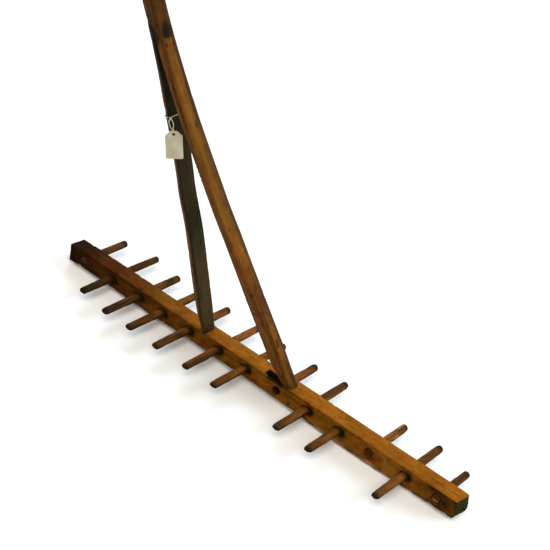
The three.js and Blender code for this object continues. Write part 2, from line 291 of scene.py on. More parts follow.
class Nodes:
    """A short way to write a node tree."""

    def __init__(self, name):
        self.material = bpy.data.materials.new(name)
        self.material.use_nodes = True
        self.tree = self.material.node_tree
        self.shader = self.tree.nodes["Principled BSDF"]

    def add(self, kind, inputs=None, **settings):
        node = self.tree.nodes.new(kind)
        for key, value in settings.items():
            setattr(node, key, value)
        for key, value in (inputs or {}).items():
            self.put(node.inputs[key], value)
        return node

    def put(self, socket, value):
        if isinstance(value, bpy.types.NodeSocket):
            self.tree.links.new(value, socket)
        else:
            socket.default_value = value

    def attribute(self, name, output="Fac"):
        return self.add("ShaderNodeAttribute", attribute_name=name).outputs[output]

    def scaled(self, vector, scale):
        node = self.add("ShaderNodeMapping", {"Vector": vector, "Scale": scale})
        return node.outputs["Vector"]

    def noise(self, vector, scale, detail=3.0, rough=0.55):
        inputs = {"Vector": vector, "Scale": scale, "Detail": detail, "Roughness": rough}
        return self.add("ShaderNodeTexNoise", inputs).outputs["Fac"]

    def fit(self, value, low, high, to_low=0.0, to_high=1.0):
        inputs = {"Value": value, "From Min": low, "From Max": high}
        inputs.update({"To Min": to_low, "To Max": to_high})
        return self.add("ShaderNodeMapRange", inputs).outputs["Result"]

    def math(self, operation, a, b):
        node = self.add("ShaderNodeMath", operation=operation, use_clamp=False)
        self.put(node.inputs[0], a)
        self.put(node.inputs[1], b)
        return node.outputs["Value"]

    def blend(self, how, share, a, b):
        node = self.add("ShaderNodeMix", data_type="RGBA", blend_type=how)
        for key, value in (("Factor_Float", share), ("A_Color", a), ("B_Color", b)):
            self.put(next(s for s in node.inputs if s.identifier == key), value)
        return next(s for s in node.outputs if s.identifier == "Result_Color")

    def over(self, base, colour, mask, share=1.0):
        """One colour laid over another, with this share of it where the mask is 1."""
        return self.blend("MIX", self.math("MULTIPLY", mask, share), base, colour)

    def bump(self, height, strength, distance):
        inputs = {"Height": height, "Strength": strength, "Distance": distance}
        return self.add("ShaderNodeBump", inputs).outputs["Normal"]

    def surface(self, base, roughness, specular, normal):
        """Gives the shader its inputs, and returns the finished material."""
        inputs = self.shader.inputs
        self.put(inputs["Base Color"], base)
        self.put(inputs["Roughness"], roughness)
        inputs["Specular IOR Level"].default_value = specular
        self.put(inputs["Normal"], normal)
        return self.material


def node_colour(red, green, blue):
    """A screen colour, 0 to 255, as a node takes it."""
    return (*[float(c) for c in srgb(red, green, blue)], 1.0)


def wood(name, streak, fibre, rough, specular):
    """Old oiled wood. The piece's own attributes say where it is what:
    tint is its colour, grain its place along and across the fibres in metres,
    and dirt how much grime lies on it."""
    n = Nodes(name)
    grain = n.attribute("grain", "Vector")
    tint = n.attribute("tint", "Color")
    dirt = n.attribute("dirt")

    def drawn_out(along, across, detail, coarseness):
        return n.noise(n.scaled(grain, (along, across, across)), 1.0, detail, coarseness)

    def shade(red, green, blue):
        return n.blend("MULTIPLY", 1.0, tint, (red, green, blue, 1))

    bands = drawn_out(7, 110, 5.0, 0.6)
    fibres = drawn_out(45, 900, 3.0, 0.6)
    pores = drawn_out(160, 2600, 2.0, 0.5)
    hues = drawn_out(14, 60, 3.0, 0.6)
    crack = n.fit(drawn_out(9, 330, 2.0, 0.4), 0.70, 0.76)
    clouds = n.noise(grain, 22.0, 4.0, 0.6)
    speck = n.fit(n.noise(grain, 420.0, 2.0, 0.6), 0.56, 0.66)
    dark = shade(0.50, 0.44, 0.40)
    base = n.over(tint, shade(1.10, 0.80, 0.75), n.fit(hues, 0.52, 0.70), 0.8)
    base = n.over(base, shade(0.84, 1.00, 0.75), n.fit(hues, 0.46, 0.28), 0.8)
    base = n.over(base, shade(1.50, 1.52, 1.45), n.fit(bands, 0.50, 0.70), streak)
    base = n.over(base, dark, n.fit(bands, 0.50, 0.28), streak)
    base = n.over(base, dark, n.fit(fibres, 0.54, 0.34), fibre)
    base = n.over(base, dark, n.fit(clouds, 0.52, 0.36), 0.3)
    base = n.over(base, node_colour(28, 14, 4), crack, 0.75)
    base = n.over(base, node_colour(34, 24, 8), n.math("MULTIPLY", dirt, speck), 0.7)
    roughness = n.fit(fibres, 0.3, 0.7, rough + 0.12, rough - 0.08)
    roughness = n.math("ADD", roughness, n.math("MULTIPLY", dirt, 0.2))
    relief = n.math("ADD", bands, n.math("MULTIPLY", fibres, 0.5))
    relief = n.math("ADD", relief, n.math("MULTIPLY", pores, 0.25))
    relief = n.math("SUBTRACT", relief, n.math("MULTIPLY", crack, 0.9))
    return n.surface(base, roughness, specular, n.bump(relief, 0.5, 0.0005))


def rusty_iron():
    n = Nodes("rusty_iron")
    where = n.add("ShaderNodeTexCoord").outputs["Object"]
    patches = n.noise(where, 260.0, 5.0, 0.65)
    grit = n.noise(where, 1500.0, 3.0, 0.6)
    base = n.over(node_colour(26, 22, 20), node_colour(44, 25, 16), n.fit(patches, 0.42, 0.62))
    base = n.over(base, node_colour(12, 9, 8), n.fit(grit, 0.6, 0.7))
    n.put(n.shader.inputs["Metallic"], n.fit(patches, 0.65, 0.4, 0.0, 0.12))
    height = n.math("ADD", n.math("MULTIPLY", grit, 0.4), patches)
    roughness = n.fit(patches, 0.35, 0.65, 0.65, 0.9)
    return n.surface(base, roughness, 0.05, n.bump(height, 0.6, 0.0004))


def card():
    n = Nodes("tag_card")
    where = n.add("ShaderNodeTexCoord").outputs["Object"]
    pulp = n.noise(where, 900.0, 4.0, 0.6)
    stain = n.noise(where, 70.0, 3.0, 0.5)
    base = n.over(node_colour(172, 165, 143), node_colour(156, 147, 122), n.fit(stain, 0.35, 0.7))
    base = n.over(base, node_colour(122, 114, 94), n.fit(pulp, 0.5, 0.7, 0, 0.3))
    roughness = n.fit(pulp, 0.3, 0.7, 0.75, 0.95)
    return n.surface(base, roughness, 0.2, n.bump(pulp, 0.25, 0.0002))


def cotton():
    n = Nodes("cotton_string")
    where = n.add("ShaderNodeTexCoord").outputs["Object"]
    fluff = n.noise(where, 2500.0, 3.0, 0.7)
    base = n.over(node_colour(205, 196, 176), node_colour(150, 138, 116), n.fit(fluff, 0.35, 0.65))
    roughness = n.fit(fluff, 0.3, 0.7, 0.8, 1.0)
    return n.surface(base, roughness, 0.1, n.bump(fluff, 0.5, 0.0002))


# -------------------------------------------------------------------- string

STRING_RADIUS = 0.6
STRING_ALONG = 538.5  # where it goes round the left arm
STRING_SLOPE = 0.45  # it lies lower at the back of the arm
STRING_TILT = 0.55  # and lower on its outer side
STRING_ARM = POLE_RADIUS + (ARM_RADIUS - POLE_RADIUS) * (1 - STRING_ALONG / SPLIT_LENGTH)
STRING_AT = np.array([-arm_offset(STRING_ALONG), 0, STRING_ALONG])
KNOT = (STRING_AT + (3.6, -STRING_ARM - 1.2, 0.6)) @ HANDLE_AXES + FOOT
TAG_HOLE = KNOT + (5.2, 4.2, -20.8)
TAG_TURN = math.radians(40)  # about the vertical
TAG_ROLL = math.radians(10.5)  # off plumb, in its own plane
STRING_PLY_TURN = 3.2  # millimetres of string for one turn of its two plies
STRING_STEP = 0.45  # between two rings of its mesh
KNOT_STRAND = 0.62


def curve_through(points, step):
    """A smooth line through points, with a point about every step millimetres."""
    p = np.array(points, float)
    p = np.vstack([2 * p[0] - p[1], p, 2 * p[-1] - p[-2]])
    line = []
    for a, b, c, d in zip(p, p[1:], p[2:], p[3:]):
        t1 = np.sqrt(np.linalg.norm(b - a))
        t2 = t1 + np.sqrt(np.linalg.norm(c - b))
        t3 = t2 + np.sqrt(np.linalg.norm(d - c))
        for t in np.linspace(t1, t2, max(2, int(np.linalg.norm(c - b) / step)), endpoint=False):
            ab = a * (t1 - t) / t1 + b * t / t1
            bc = b * (t2 - t) / (t2 - t1) + c * (t - t1) / (t2 - t1)
            cd = c * (t3 - t) / (t3 - t2) + d * (t - t2) / (t3 - t2)
            abc = ab * (t2 - t) / t2 + bc * t / t2
            bcd = bc * (t3 - t) / (t3 - t1) + cd * (t - t1) / (t3 - t1)
            line.append(abc * (t2 - t) / (t2 - t1) + bcd * (t - t1) / (t2 - t1))
    line.append(p[-2])
    return np.array(line)


def tube_mesh(name, line, radius_at, sides):
    """A closed tube round a line. radius_at(ring, angle) gives its radius."""
    along = np.gradient(line, axis=0)
    along /= np.linalg.norm(along, axis=1)[:, None]
    side = np.cross(along[0], (0.3, 0.2, 1.0))
    points = []
    angles = np.linspace(0, 2 * math.pi, sides, endpoint=False)
    for ring, (middle, forward) in enumerate(zip(line, along)):
        side = side - forward * side.dot(forward)
        side /= np.linalg.norm(side)
        other = np.cross(forward, side)
        radius = radius_at(ring, angles)
        points += list(
            middle
            + np.outer(np.cos(angles) * radius, side)
            + np.outer(np.sin(angles) * radius, other)
        )
    faces = []
    for ring, k in itertools.product(range(len(line) - 1), range(sides)):
        a, b = ring * sides + k, ring * sides + (k + 1) % sides
        faces.append((a, b, b + sides, a + sides))
    faces.append(tuple(range(sides))[::-1])
    faces.append(tuple(range(len(points) - sides, len(points))))
    mesh = bpy.data.meshes.new(name)
    mesh.from_pydata(np.array(points) * MM, [], faces)
    return mesh


def string_route():
    """From the knot round the arm, back, down to the tag's hole and up again."""
    clear = STRING_ARM + STRING_RADIUS + 1.2
    face = 1.2  # from the sawn face of the arm
    round_arm = []
    for x, y in (
        (-0.4, -clear * 1.06),
        (-clear * 0.88, -clear * 0.72),
        (-clear * 1.15, 0),
        (-clear * 0.89, clear * 0.76),
        (-5, clear * 1.02),
        (face * 0.5, clear * 1.02),
        (face * 1.2, clear * 0.82),
        (face, 0),
        (face * 1.4, -clear * 0.82),
    ):
        z = STRING_TILT * min(x, 0) - STRING_SLOPE * (y + clear)
        round_arm.append((STRING_AT + (x, y, z)) @ HANDLE_AXES + FOOT)
    side = np.array([math.cos(TAG_TURN), math.sin(TAG_TURN), 0])
    out = np.array([math.sin(TAG_TURN), -math.cos(TAG_TURN), 0])
    loop = [
        TAG_HOLE + across * side + outwards * out + np.array([0, 0, up])
        for across, outwards, up in (
            (-6.7, 0, 20.8),
            (-4.4, 1.2, 18.4),
            (-1.9, 1.7, 13),
            (-1.6, 1.8, 8.5),
            (-1.0, 1.6, 4.8),
            (0, 1.1, 2.2),
            (0, 0, 1.1),
            (0, -1.1, 2.2),
            (-2.2, -1.1, 4.8),
            (-5.2, -0.6, 8.5),
            (-7.3, 0, 13),
            (-8.2, 1, 17),
            (-7.6, 1.8, 19.5),
        )
    ]
    return round_arm + loop


def make_string():
    line = curve_through(string_route(), STRING_STEP)
    turn = 2 * math.pi * STRING_STEP / STRING_PLY_TURN

    def radius_at(ring, angles):
        return STRING_RADIUS * (0.78 + 0.24 * np.abs(np.cos(angles - turn * ring)))

    mesh = tube_mesh("tag_string_twisted", line, radius_at, 12)
    piece = finished("string", mesh, "tag_string", cotton())
    length = float(np.linalg.norm(np.diff(line, axis=0), axis=1).sum()) * MM
    return piece, line, length


def make_knot(material):
    """An overhand knot, three turns of string drawn tight where the strands meet."""
    middle = KNOT + (0.2, -0.6, -0.5)
    t = np.linspace(0, 2 * math.pi, 90, endpoint=False)
    x = 0.9 * np.sin(t) + 0.9 * np.sin(2 * t)
    y = 0.9 * np.cos(t) - 0.9 * np.cos(2 * t)
    z = -0.7 * np.sin(3 * t)
    line = middle + np.stack([x, z, y], axis=1)
    line = np.vstack([line, line[:1]])
    mesh = tube_mesh("string_knot", line, lambda ring, angles: KNOT_STRAND + 0 * angles, 10)
    mesh.shade_smooth()
    mesh.materials.append(material)
    knot = link("string_knot", mesh)
    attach(knot, "root")
    return knot


# ----------------------------------------------------------------------- tag

TAG_WIDTH, TAG_HEIGHT, TAG_THICKNESS = 21.5, 38.0, 0.6
TAG_CORNER = 6.5
TAG_HOLE_DROP = 4.5
TAG_HOLE_RADIUS = 2.0
TAG_FOOT = 2.2  # radius of its two lower corners


def tag_outline(samples):
    """Half-widths of the card from its lower edge to its upper one."""
    height = np.linspace(0, TAG_HEIGHT, samples)
    clipped = np.clip(height - (TAG_HEIGHT - TAG_CORNER), 0, None)
    low = np.clip(TAG_FOOT - height, 0, None)
    rounded = TAG_FOOT - np.sqrt(TAG_FOOT**2 - low**2)
    return height, TAG_WIDTH / 2 - clipped - rounded


def make_tag():
    rows, columns = 77, 44
    height, half = tag_outline(rows)
    u = np.linspace(-1, 1, columns)
    x = np.outer(half, u)
    z = np.repeat(height[:, None], columns, axis=1) - (TAG_HEIGHT - TAG_HOLE_DROP)
    flat = np.stack([x.ravel(), np.zeros(x.size), z.ravel()], axis=1)
    # The card's mesh is in millimetres until it hangs in its place.
    mesh = bpy.data.meshes.new("tag_sheet")
    faces = []
    for row, column in itertools.product(range(rows - 1), range(columns - 1)):
        a = row * columns + column
        faces.append((a, a + 1, a + columns + 1, a + columns))
    centres = flat[np.array(faces)].mean(axis=1)
    solid = np.hypot(centres[:, 0], centres[:, 2]) > TAG_HOLE_RADIUS
    mesh.from_pydata(flat, [], [f for f, keep in zip(faces, solid) if keep])
    work = bmesh.new()
    work.from_mesh(mesh)
    bmesh.ops.delete(work, geom=[v for v in work.verts if not v.link_faces], context="VERTS")
    for vertex in work.verts:
        # The ragged steps round the hole are drawn out to a true circle.
        away = math.hypot(vertex.co.x, vertex.co.z)
        if vertex.is_boundary and away < TAG_HOLE_RADIUS * 1.6:
            vertex.co *= TAG_HOLE_RADIUS / away
        # The card is a little dished, and its lower corner is turned up.
        curl = 0.0042 * vertex.co.x**2
        corner = max(0, -vertex.co.x - vertex.co.z / 2 - 20)
        vertex.co.y = -curl + 0.004 * corner**2 + 0.25 * math.sin(vertex.co.z / 9)
    work.to_mesh(mesh)
    work.free()
    turn = Matrix.Rotation(TAG_TURN, 3, "Z") @ Matrix.Rotation(-TAG_ROLL, 3, "Y")
    set_points(mesh, points_of(mesh) * MM @ np.array(turn).T + TAG_HOLE)
    piece = finished("tag", mesh, "lot_tag", card())
    thick = piece.modifiers.new("thickness", "SOLIDIFY")
    thick.thickness = TAG_THICKNESS * MM
    thick.offset = 0
    edge = piece.modifiers.new("edge", "BEVEL")
    edge.width = 0.12 * MM
    edge.segments = 2
    return piece


string, string_line, string_length = make_string()
knot = make_knot(string.data.materials[0])
tag = make_tag()

# ---------------------------------------------------------------------- head

ORANGE = srgb(138, 83, 17)
AMBER = srgb(112, 65, 12)
RUSSET = srgb(88, 44, 6)
UMBER = srgb(60, 29, 4)
SOOT = srgb(22, 14, 5)
OLIVE = srgb(46, 38, 10)
OCHRE = srgb(150, 110, 50)
RAW = srgb(150, 112, 84)
FRONT_BROWN = srgb(108, 66, 14)
FRONT_RED = srgb(98, 49, 8)
FRONT_DARK = srgb(80, 46, 8)
END_GREEN = srgb(50, 46, 20)

NAIL_HOLE = (88.5, -15, 7)  # a small old hole in the front face
HEAD_KNOCKS = 70
# Stretches of the head, as between() takes them.
TORN_EDGE = (118, 140, 252, 270)  # where wood tore off the lower front edge
WORN_RIM = (32, 46, 66, 82)  # the rim in front of the long mortise
MORTISE = (26, 34, 104, 112)  # the long mortise

# How far the lower front edge is worn away, or below 0 sags, by place along the head.
EDGE_WORN = [
    (-394, -1.8), (-375, 0.0), (-350, 0.4), (-310, 0.8), (-255, -0.6), (-205, -0.8), (-160, 1.4),
    (-120, 1.6), (-60, 0.6), (20, 1.0), (60, 0.6), (110, 0.2), (125, -1.6), (150, -2.8),
    (200, -4.0), (250, -3.6), (300, -2.8), (345, -2.0), (380, -0.6), (394, -1.0),
]


def round_edge(points, axes, middle, half, radius):
    """Rounds the edges that run square to two axes of a box."""
    q = points[:, axes] - middle[axes]
    gap = half[axes] - np.abs(q)
    inner = radius[:, None] - gap
    near = (inner > 0).all(axis=1)
    away = np.linalg.norm(inner, axis=1)
    share = np.where(near, np.minimum(1, radius / np.maximum(away, 1e-6)), 1)
    gap = radius[:, None] - inner * share[:, None]
    moved = points.copy()
    moved[:, axes] = np.where(near[:, None], np.sign(q) * (half[axes] - gap), q) + middle[axes]
    return moved


def nearest_bore(points):
    """Across and up from the axis of the nearest tooth, and the tooth's number."""
    off = points[:, None, 0] - TOOTH_X[None, :]
    nearest = np.abs(off).argmin(axis=1)
    dx = off[np.arange(len(points)), nearest]
    return dx, points[:, 2] - HEAD_MIDDLE[2], nearest


def dents(points, normals, centres, sizes, depths):
    for centre, size, depth in zip(centres, sizes, depths):
        far = np.linalg.norm(points - centre, axis=1)
        points = points - normals * (depth * np.exp(-((far / size) ** 2)))[:, None]
    return points


def make_head():
    mesh = remeshed("head_wood", "head_beam", HEAD_VOXEL)
    points, normals = points_of(mesh), normals_of(mesh)
    x = points[:, 0]
    front = points[:, 1] < 0
    low = points[:, 2] < HEAD_MIDDLE[2]
    dx, dz, number = nearest_bore(points)
    bore = np.hypot(dx, dz)
    outside = (
        (np.abs(points[:, 1]) > HEAD_HALF[1] - 1)
        | (np.abs(points[:, 2] - HEAD_MIDDLE[2]) > HEAD_HALF[2] - 1)
        | (np.abs(x) > HEAD_HALF[0] - 1)
    )

    # Long edges are worn round, more so below, except where wood tore away.
    torn = between(x, *TORN_EDGE)
    wave = noise(points, (60, 400, 400), 1) + 0.5 * noise(points, (15, 400, 400), 2)
    radius = np.where(low, 3.2, 1.6) + wave
    radius = np.where(low & front, radius * (1 - 0.6 * torn), radius)
    radius = np.where(low & ~front, radius + 2.0, radius)
    radius += smooth(-x, 300, 380) * front * ~low
    points = round_edge(points, [1, 2], HEAD_MIDDLE, HEAD_HALF, np.clip(radius, 0.8, 8))
    # The right end is worn rounder than the left one, and most of all below.
    end = np.where(x > 0, 3.4, 2.4) + noise(points, (400, 9, 9), 2)
    corner = np.where((x > 0) & low, end + 1.5, end)
    points = round_edge(points, [0, 2], HEAD_MIDDLE, HEAD_HALF, corner)
    points = round_edge(points, [0, 1], HEAD_MIDDLE, HEAD_HALF, np.where(low, corner, end))

    # Faces: hewn and planed by hand, so they wander, with the grain standing proud.
    lift = 0.35 * noise(points, (90, 22, 22), 3) + 0.20 * noise(points, (26, 7, 7), 4)
    lift += 0.12 * noise(points, (30, 1.7, 1.7), 5)
    lift += torn * front * low * (0.8 + 1.2 * noise(points, (14, 3, 3), 6))
    # The mouths of the bores are worn wide, on the right-hand side most of all.
    lip = np.exp(-((np.clip(bore - 7, 0, None) / 2.0) ** 2))
    worn = np.exp(-((np.hypot(dx - 8, dz - 1) / (4.2 + noise(points, (7, 7, 7), 9))) ** 2))
    worn *= FRONT_REACH[number] > HEAD_HALF[1] + STUB
    on_side = np.abs(normals[:, 1]) > 0.5
    lift -= (0.6 * lip + 2.2 * worn * front) * on_side
    points = points + normals * (lift * outside)[:, None]
    raised = from_table(x, EDGE_WORN) + torn * 0.8 * noise(points, (9, 30, 30), 7)
    points[:, 2] += front * low * outside * raised * smooth(-dz, 6, 15)
    scallop = np.clip(noise(points, (17, 99, 99), 11) - 0.25, 0, None) * 2.2
    points[:, 2] -= front * ~low * outside * scallop * smooth(-points[:, 1], 8, 14)
    # The rim in front of the long mortise has worn away.
    rim = between(x, *WORN_RIM) * smooth(-points[:, 1], 7, 11) * ~low
    points[:, 2] -= rim * (1.9 + 0.7 * noise(points, (6, 6, 60), 17)) * smooth(dz, 8, 14)
    # Both ends run a little past the square cut, and the right one swells at the back.
    points[:, 0] += (2.2 - 2.4 * smooth(-points[:, 1], -10, 15)) * smooth(x, 374, 394)
    swelling = bump_at(points[:, 2], 12, 9) * smooth(points[:, 1], -6, 14)
    points[:, 0] += 3.0 * swelling * smooth(x, 380, 394)
    points[:, 0] -= (3.2 + 1.3 * smooth(dz, 0, 14) * front) * smooth(-x, 374, 394)
    points[:, 2] -= 1.3 * smooth(-x, 360, 394) * smooth(dz, 0, 14)

    # Knocks, mostly along the edges.
    random = np.random.default_rng(11)
    count = HEAD_KNOCKS
    at = np.empty((count, 3))
    at[:, 0] = random.uniform(HEAD_LOW[0], HEAD_HIGH[0], count)
    at[:, 1] = random.choice([-1, 1], count) * HEAD_HALF[1]
    at[:, 2] = HEAD_MIDDLE[2] + random.choice([-1, 1], count) * HEAD_HALF[2]
    sizes, depths = random.uniform(2, 5, count), random.uniform(0.5, 1.6, count)
    points = dents(points, normals, at, sizes, depths)
    at[:, 2] = random.uniform(HEAD_LOW[2], HEAD_HIGH[2], count)
    sizes, depths = random.uniform(1, 3, count), random.uniform(0.15, 0.5, count)
    points = dents(points, normals, at, sizes, depths)
    points = dents(points, normals, [NAIL_HOLE], [2.0], [2.5])
    set_points(mesh, points)
    paint_head(mesh, points, normals, dx, dz, number, torn, rim)
    material = wood("head_wood", streak=0.22, fibre=0.2, rough=0.65, specular=0.01)
    return finished("head", mesh, "head_beam", material)


def paint_head(mesh, points, normals, dx, dz, number, torn, rim):
    x, y, z = points.T
    front = y < 0
    wander = 16 * noise(points, (40, 30, 30), 8)
    top = along_line(
        x + wander,
        [(-394, SOOT), (-350, UMBER), (-270, RUSSET), (-190, AMBER), (-60, ORANGE), (394, ORANGE)],
    )
    side = along_line(
        x + wander,
        [
            (-394, SOOT), (-345, UMBER * 0.8), (-180, FRONT_DARK), (-40, FRONT_BROWN),
            (325, FRONT_BROWN), (362, UMBER), (394, SOOT),
        ],
    )
    blotch = noise(points, (26, 12, 12), 9)
    side = mix(side, FRONT_RED * 0.9, 0.7 * smooth(blotch, 0.15, 0.6) * smooth(x, -350, -140))
    side = mix(side, side * 0.62, 0.8 * smooth(-blotch, 0.2, 0.7))
    side = side * (1 + 0.28 * bump_at(x, 285, 45))[:, None]
    side = mix(side, side * (1.0, 1.22, 1.2), smooth(x, 310, 360))
    # Faces that don't face up are painted darker than the top: a browner colour of their own, and
    # painted shade, as the light falls from above.
    facing_up = smooth(normals[:, 2], 0.35, 0.75)
    tint = mix(side, top, facing_up)
    mottle = 0.6 * noise(points, (11, 5, 5), 25) + 0.5 * noise(points, (4.5, 2.6, 2.6), 26)
    tint = tint * (1 + 0.42 * mottle)[:, None]
    yellower = smooth(noise(points, (16, 7, 7), 27), 0.0, 0.7)[:, None]
    tint = tint * (1 + yellower * (-0.06, 0.10, 0.10))
    low_line = smooth(z, 6, 1.5) * front * smooth(noise(points, (14, 4, 4), 28), -0.5, 0.3)
    tint = mix(tint, OLIVE * 0.45, 0.6 * low_line)
    # A painted shadow line runs under the top front edge, heaviest at the left.
    edge_shadow = bump_at(z, 29, 2.2) * front * (0.35 + 0.55 * smooth(-x, 120, 300))
    tint = mix(tint, SOOT, edge_shadow * smooth(noise(points, (24, 9, 9), 14), -0.6, 0.4))
    # Round the teeth the front is painted darker, most of all above them and to the right: grime,
    # and painted shade in the worn mouths of the bores and where each tooth meets the face.
    spread = 8.5 + 2.5 * noise(points, (9, 9, 9), 15)
    grime_and_shade = np.exp(-((np.hypot(dx - 6, dz - 3) / spread) ** 4))
    grime_and_shade += 0.6 * np.exp(-((np.hypot(dx - 9, dz - 9) / 6) ** 2))
    stands = FRONT_REACH[number] > HEAD_HALF[1] + STUB
    grime_and_shade = np.clip(grime_and_shade, 0, 1) * np.where(front, stands, 0.45) * (1 - facing_up)
    bore_mouth_shade = np.exp(-((np.hypot((dx - 8) / 8.5, (dz - 1) / 7.5) ** 4))) * front * stands
    tint = mix(tint, OLIVE * 0.75, 0.85 * grime_and_shade)
    tint = mix(tint, SOOT * 0.5, 0.9 * bore_mouth_shade)
    # The bores are painted near black within: painted shade in the gap round each tooth.
    bore_shade = (np.hypot(dx, dz) < TOOTH_RADIUS + 1.2) & (np.abs(y) < HEAD_HALF[1] - 0.5)
    tint = mix(tint, SOOT * 0.7, bore_shade * 0.9)
    # The torn lower edge shows fresher, greyer wood.
    fresh = torn * front * smooth(-dz, 9.5, 13)
    tint = mix(tint, RAW, 0.75 * fresh * smooth(noise(points, (12, 3, 3), 10), -0.5, 0.4))
    # An arc of paler figure, and a dark patch near the right end.
    arc = bump_at(np.hypot(x - 300, z - 34), 34, 2.2) * front * (x < 300)
    tint = mix(tint, OCHRE * 0.6, 0.55 * arc)
    patch = bump_at(x, 377, 9) * bump_at(z, 16, 8)
    patch = np.clip(patch + bump_at(x, 352, 10) * bump_at(z, 27, 3), 0, 1) * front
    tint = mix(tint, SOOT, 0.85 * patch)
    # The worn-down rim before the long mortise is painted near black: painted shade in the hollow.
    worn_rim_shade = smooth(rim + 0.25 * noise(points, (5, 5, 5), 19), 0.15, 0.75)
    tint = mix(tint, SOOT * 0.6, 0.93 * worn_rim_shade * smooth(z, HEAD_TOP - 6.5, HEAD_TOP - 3.5))
    # The long mortise is painted dark within: painted shade in the hollow.
    mortise = between(x, *MORTISE) * smooth(np.abs(y), 12, 10)
    mortise *= smooth(z, HEAD_TOP - 0.3, HEAD_TOP - 3) * (z > HEAD_LOW[2] + 2)
    tint = mix(tint, SOOT * 0.8, 0.85 * mortise)
    # At the broken teeth the mouths of the bores are painted dark and soft-edged: painted shade in
    # the holes.
    broken_bore_shade = np.exp(-((np.hypot((x - 60) / 6.3, (z - 13) / 7.6) ** 6))) * front
    tint = mix(tint, UMBER * 0.75, 0.9 * broken_bore_shade)
    broken_bore_shade = np.exp(-((np.hypot((x - 243) / 11, (z - 12) / 7) ** 4))) * front
    tint = mix(tint, FRONT_RED * 0.35, 0.8 * broken_bore_shade)
    # The end faces are painted nearly black with a green cast: dark end grain, and painted shade
    # besides.
    tint = mix(tint, END_GREEN * 0.7, smooth(np.abs(normals[:, 0]), 0.4, 0.8))
    hole = bump_at(x, NAIL_HOLE[0], 2.8) * bump_at(z, NAIL_HOLE[2], 2.4) * front
    tint = mix(tint, SOOT, 0.9 * hole)
    set_wood(mesh, tint, 0.2 + 0.8 * grime_and_shade + 0.3 * (1 - facing_up), points)


# --------------------------------------------------------------------- teeth

TOOTH_BROWN = srgb(106, 65, 22)
TOOTH_DARK = srgb(44, 30, 9)
TOOTH_GREY = srgb(48, 42, 28)
TOOTH_PALE = srgb(132, 102, 50)
TOOTH_PLUM = srgb(96, 68, 56)
TOOTH_RED = srgb(104, 50, 14)
TOOTH_STAIN = srgb(70, 24, 18)
TOOTH_CUT = 4.0  # how far from the point the CAD tooth starts to round off

# Teeth are counted from 0, from the left end.
LEVEL_STUBS = (0, 10, 12)  # broken off level with the front of the head
BACK_STUB = 9  # broken off at the back
STREAKED = 10  # pale streaks run along its back half


def make_tooth(number, node, material):
    mesh = remeshed(f"{node}_wood", node, TOOTH_VOXEL)
    points, normals = points_of(mesh), normals_of(mesh)
    low, high = TOOTH_BOXES[number]
    random = np.random.default_rng(100 + number)
    middle = np.array([TOOTH_X[number], 0.0, HEAD_MIDDLE[2]])
    off = points - middle
    y = points[:, 1]
    angle = np.arctan2(off[:, 2], off[:, 0])
    end = np.where(y < 0, -low[1], high[1])
    whole = end > HEAD_HALF[1] + STUB
    out = smooth(np.abs(y), HEAD_HALF[1] + 1, HEAD_HALF[1] + 10)
    # The point is cut off square, where the CAD tooth is rounded.
    into = np.clip(np.abs(y) - (end - TOOTH_CUT), 0, TOOTH_CUT)
    rounded = TOOTH_RADIUS - TOOTH_CUT + np.sqrt(TOOTH_CUT**2 - into**2)
    square = TOOTH_RADIUS - 1.3 * smooth(into, 1.8, TOOTH_CUT)
    scale = np.where(whole, square / rounded, 1.0)
    # Whittled flats, and a peg a little thicker than its bore.
    facets = int(random.integers(6, 9))
    sector = 2 * math.pi / facets
    turned = np.mod(angle + random.uniform(0, sector), sector) - sector / 2
    flat = math.cos(sector / 2) / np.cos(turned)
    scale = scale * (1 + out * (0.75 * (flat - 1) + 0.095))
    scale += out * 0.05 * noise(points + 40 * number, (18, 8, 8), number)
    scale += 0.02 * noise(points + 31 * number, (1.5, 22, 1.5), number + 3)
    points[:, [0, 2]] = middle[[0, 2]] + off[:, [0, 2]] * scale[:, None]
    # The end is sawn off on a slant: in front, longer above and to the left.
    tip = smooth(end - np.abs(y), 12, 0) * whole
    slants = random.uniform((-1.1, 0.0), (-0.4, 6.3))
    slopes = random.uniform((0.4, 0.1), (0.6, 0.3))
    slant, slope = np.where(y[:, None] < 0, [slants[0], slopes[0]], [slants[1], slopes[1]]).T
    longer = np.where(y < 0, 5.5, 1.0)
    reach = np.abs(y) + longer * smooth(np.abs(y), HEAD_HALF[1] + 5, end - 3) * whole
    across = off[:, 0] * np.cos(slant) + off[:, 2] * np.sin(slant)
    cut = end + 0.45 * longer - slope * across
    points[:, 1] = np.sign(y) * np.where(whole, np.minimum(reach, cut), reach)
    bend = random.uniform(-0.5, 0.5, 2)
    reach = np.clip((np.abs(y) - HEAD_HALF[1]) / 70, 0, None) ** 2 * whole
    points[:, [0, 2]] += reach[:, None] * bend
    # A broken end is a ragged bundle of splinters.
    snapped = ~whole & (np.abs(y) > end - 3)
    splinter = 2.2 * noise(points, (1.3, 50, 1.3), number) + 0.8 * noise(points, (4, 50, 4), 2)
    points[:, 1] += np.where(snapped, np.sign(y) * splinter, 0)
    if number in LEVEL_STUBS:
        level = snapped & (y < 0)
        points[level, 1] += -HEAD_HALF[1] - 0.2 + FRONT_REACH[number]
        points[level] += (points[level] - middle) * (0.1, 0, 0.1)
    set_points(mesh, points)
    normals = normals_of(mesh)
    end_face = smooth(np.abs(normals[:, 1]), 0.55, 0.85) * whole
    paint_tooth(mesh, points, number, whole, tip, end_face)
    return finished(node.replace("tooth", "peg"), mesh, node, material)


